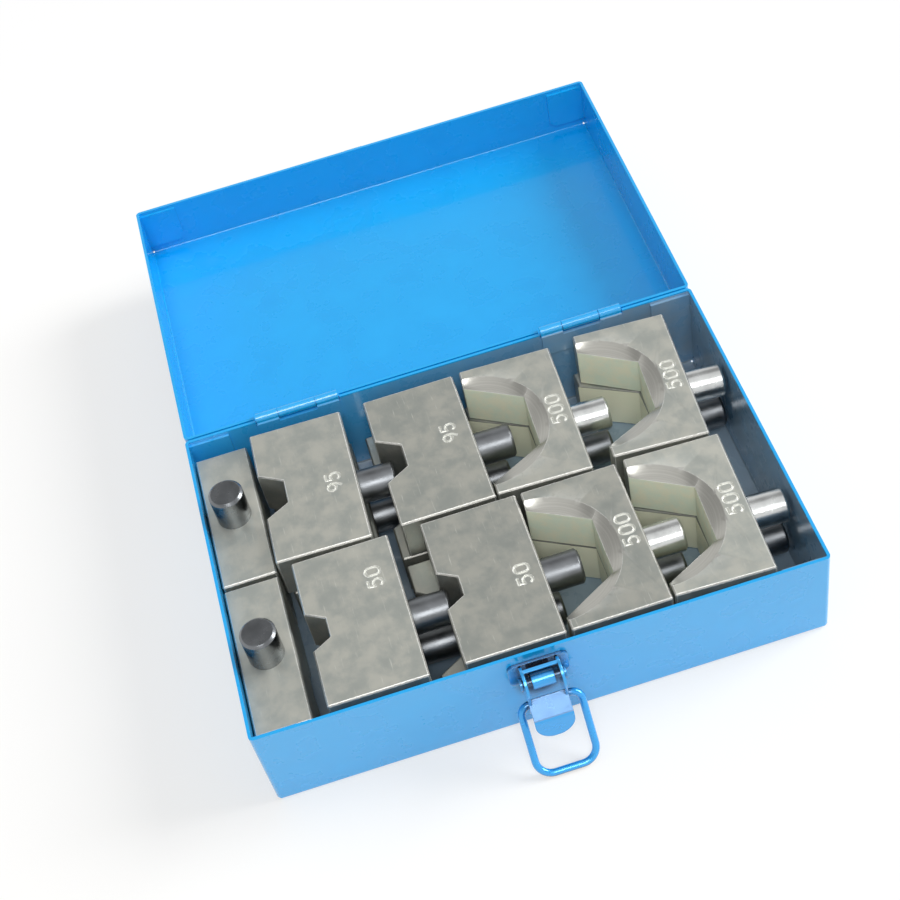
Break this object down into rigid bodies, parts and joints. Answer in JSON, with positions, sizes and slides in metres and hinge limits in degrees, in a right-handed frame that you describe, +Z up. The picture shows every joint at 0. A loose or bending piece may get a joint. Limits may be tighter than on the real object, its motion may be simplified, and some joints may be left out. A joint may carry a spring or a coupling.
{
  "type": "hydraulic crimping die set in a hinged case",
  "caption": "Steel hexagonal crimping dies with round shanks, stored in a shallow folded sheet-steel case with a hinged lid and a ring latch.",
  "frame": {"origin": "centre of the case's underside, on the surface it stands on", "axes": "+X along the hinge to the right, +Y from the latch to the hinge, +Z up"},
  "size_m": [0.182, 0.2703, 0.0455],
  "materials": {
    "blue_paint": "glossy stoving enamel with a little orange peel",
    "plated_steel": "milled steel, zinc plated, handled and cloudy",
    "bright_steel": "turned steel, light oil film",
    "black_oxide_steel": "turned steel, black oxide"
  },
  "bodies": {
    "case": {"case_base": "blue_paint", "hinge_base_leaf_left": "blue_paint", "hinge_base_leaf_right": "blue_paint", "hinge_pin_left": "blue_paint", "hinge_pin_right": "blue_paint", "latch_bracket": "blue_paint", "latch_pin": "blue_paint"},
    "lid": {"case_lid": "blue_paint", "hinge_lid_leaf_left": "blue_paint", "hinge_lid_leaf_right": "blue_paint", "lid_hook": "blue_paint"},
    "lever": {"latch_lever": "blue_paint"},
    "ring": {"latch_ring": "blue_paint"},
    "die_set_70_front_upright": {"die_70_front_upright": "plated_steel", "shank_70_front_upright": "black_oxide_steel"},
    "die_set_50_front_upper_1": {"die_50_front_upper_1": "plated_steel", "shank_50_front_upper_1": "black_oxide_steel"},
    "die_set_300_front_lower_1": {"die_300_front_lower_1": "plated_steel", "shank_300_front_lower_1": "black_oxide_steel"},
    "die_set_50_front_upper_2": {"die_50_front_upper_2": "plated_steel", "shank_50_front_upper_2": "black_oxide_steel"},
    "die_set_300_front_lower_2": {"die_300_front_lower_2": "plated_steel", "shank_300_front_lower_2": "black_oxide_steel"},
    "die_set_500_front_upper_3": {"die_500_front_upper_3": "plated_steel", "shank_500_front_upper_3": "bright_steel"},
    "die_set_500_front_lower_3": {"die_500_front_lower_3": "plated_steel", "shank_500_front_lower_3": "black_oxide_steel"},
    "die_set_500_front_upper_4": {"die_500_front_upper_4": "plated_steel", "shank_500_front_upper_4": "bright_steel"},
    "die_set_500_front_lower_4": {"die_500_front_lower_4": "plated_steel", "shank_500_front_lower_4": "black_oxide_steel"},
    "die_set_70_back_upright": {"die_70_back_upright": "plated_steel", "shank_70_back_upright": "black_oxide_steel"},
    "die_set_95_back_upper_1": {"die_95_back_upper_1": "plated_steel", "shank_95_back_upper_1": "black_oxide_steel"},
    "die_set_240_back_lower_1": {"die_240_back_lower_1": "plated_steel", "shank_240_back_lower_1": "black_oxide_steel"},
    "die_set_95_back_upper_2": {"die_95_back_upper_2": "plated_steel", "shank_95_back_upper_2": "black_oxide_steel"},
    "die_set_240_back_lower_2": {"die_240_back_lower_2": "plated_steel", "shank_240_back_lower_2": "black_oxide_steel"},
    "die_set_500_back_upper_3": {"die_500_back_upper_3": "plated_steel", "shank_500_back_upper_3": "bright_steel"},
    "die_set_500_back_lower_3": {"die_500_back_lower_3": "plated_steel", "shank_500_back_lower_3": "black_oxide_steel"},
    "die_set_500_back_upper_4": {"die_500_back_upper_4": "plated_steel", "shank_500_back_upper_4": "bright_steel"},
    "die_set_500_back_lower_4": {"die_500_back_lower_4": "plated_steel", "shank_500_back_lower_4": "black_oxide_steel"}
  },
  "joints": [
    {"name": "lid_hinge", "type": "hinge", "parent": "case", "child": "lid", "pos_m": [0, 0.0613, 0.03815], "axis": [-1, 0, 0], "range_deg": [-180, 0]},
    {"name": "latch_lever_pivot", "type": "hinge", "parent": "case", "child": "lever", "pos_m": [-0.0026, -0.0673, 0.0327], "axis": [-1, 0, 0], "range_deg": [0, 100]},
    {"name": "latch_ring_pivot", "type": "hinge", "parent": "lever", "child": "ring", "pos_m": [-0.0026, -0.0668, 0.0196], "axis": [1, 0, 0], "range_deg": [-150.86, 0]},
    {"name": "lift_300_front_lower_1", "type": "slide", "parent": "case", "child": "die_set_300_front_lower_1", "axis": [0, 0, 1], "range_m": [0, 0.045]},
    {"name": "lift_300_front_lower_2", "type": "slide", "parent": "case", "child": "die_set_300_front_lower_2", "axis": [0, 0, 1], "range_m": [0, 0.045]},
    {"name": "lift_500_front_lower_3", "type": "slide", "parent": "case", "child": "die_set_500_front_lower_3", "axis": [0, 0, 1], "range_m": [0, 0.045]},
    {"name": "lift_500_front_lower_4", "type": "slide", "parent": "case", "child": "die_set_500_front_lower_4", "axis": [0, 0, 1], "range_m": [0, 0.045]},
    {"name": "lift_240_back_lower_1", "type": "slide", "parent": "case", "child": "die_set_240_back_lower_1", "axis": [0, 0, 1], "range_m": [0, 0.045]},
    {"name": "lift_240_back_lower_2", "type": "slide", "parent": "case", "child": "die_set_240_back_lower_2", "axis": [0, 0, 1], "range_m": [0, 0.045]},
    {"name": "lift_500_back_lower_3", "type": "slide", "parent": "case", "child": "die_set_500_back_lower_3", "axis": [0, 0, 1], "range_m": [0, 0.045]},
    {"name": "lift_500_back_lower_4", "type": "slide", "parent": "case", "child": "die_set_500_back_lower_4", "axis": [0, 0, 1], "range_m": [0, 0.045]},
    {"name": "lift_70_front_upright", "type": "slide", "parent": "case", "child": "die_set_70_front_upright", "axis": [0, 0, 1], "range_m": [0, 0.045]},
    {"name": "lift_70_back_upright", "type": "slide", "parent": "case", "child": "die_set_70_back_upright", "axis": [0, 0, 1], "range_m": [0, 0.045]},
    {"name": "lift_50_front_upper_1", "type": "slide", "parent": "die_set_300_front_lower_1", "child": "die_set_50_front_upper_1", "axis": [0, 0, 1], "range_m": [0, 0.025]},
    {"name": "lift_50_front_upper_2", "type": "slide", "parent": "die_set_300_front_lower_2", "child": "die_set_50_front_upper_2", "axis": [0, 0, 1], "range_m": [0, 0.025]},
    {"name": "lift_500_front_upper_3", "type": "slide", "parent": "die_set_500_front_lower_3", "child": "die_set_500_front_upper_3", "axis": [0, 0, 1], "range_m": [0, 0.025]},
    {"name": "lift_500_front_upper_4", "type": "slide", "parent": "die_set_500_front_lower_4", "child": "die_set_500_front_upper_4", "axis": [0, 0, 1], "range_m": [0, 0.025]},
    {"name": "lift_95_back_upper_1", "type": "slide", "parent": "die_set_240_back_lower_1", "child": "die_set_95_back_upper_1", "axis": [0, 0, 1], "range_m": [0, 0.025]},
    {"name": "lift_95_back_upper_2", "type": "slide", "parent": "die_set_240_back_lower_2", "child": "die_set_95_back_upper_2", "axis": [0, 0, 1], "range_m": [0, 0.025]},
    {"name": "lift_500_back_upper_3", "type": "slide", "parent": "die_set_500_back_lower_3", "child": "die_set_500_back_upper_3", "axis": [0, 0, 1], "range_m": [0, 0.025]},
    {"name": "lift_500_back_upper_4", "type": "slide", "parent": "die_set_500_back_lower_4", "child": "die_set_500_back_upper_4", "axis": [0, 0, 1], "range_m": [0, 0.025]}
  ]
}
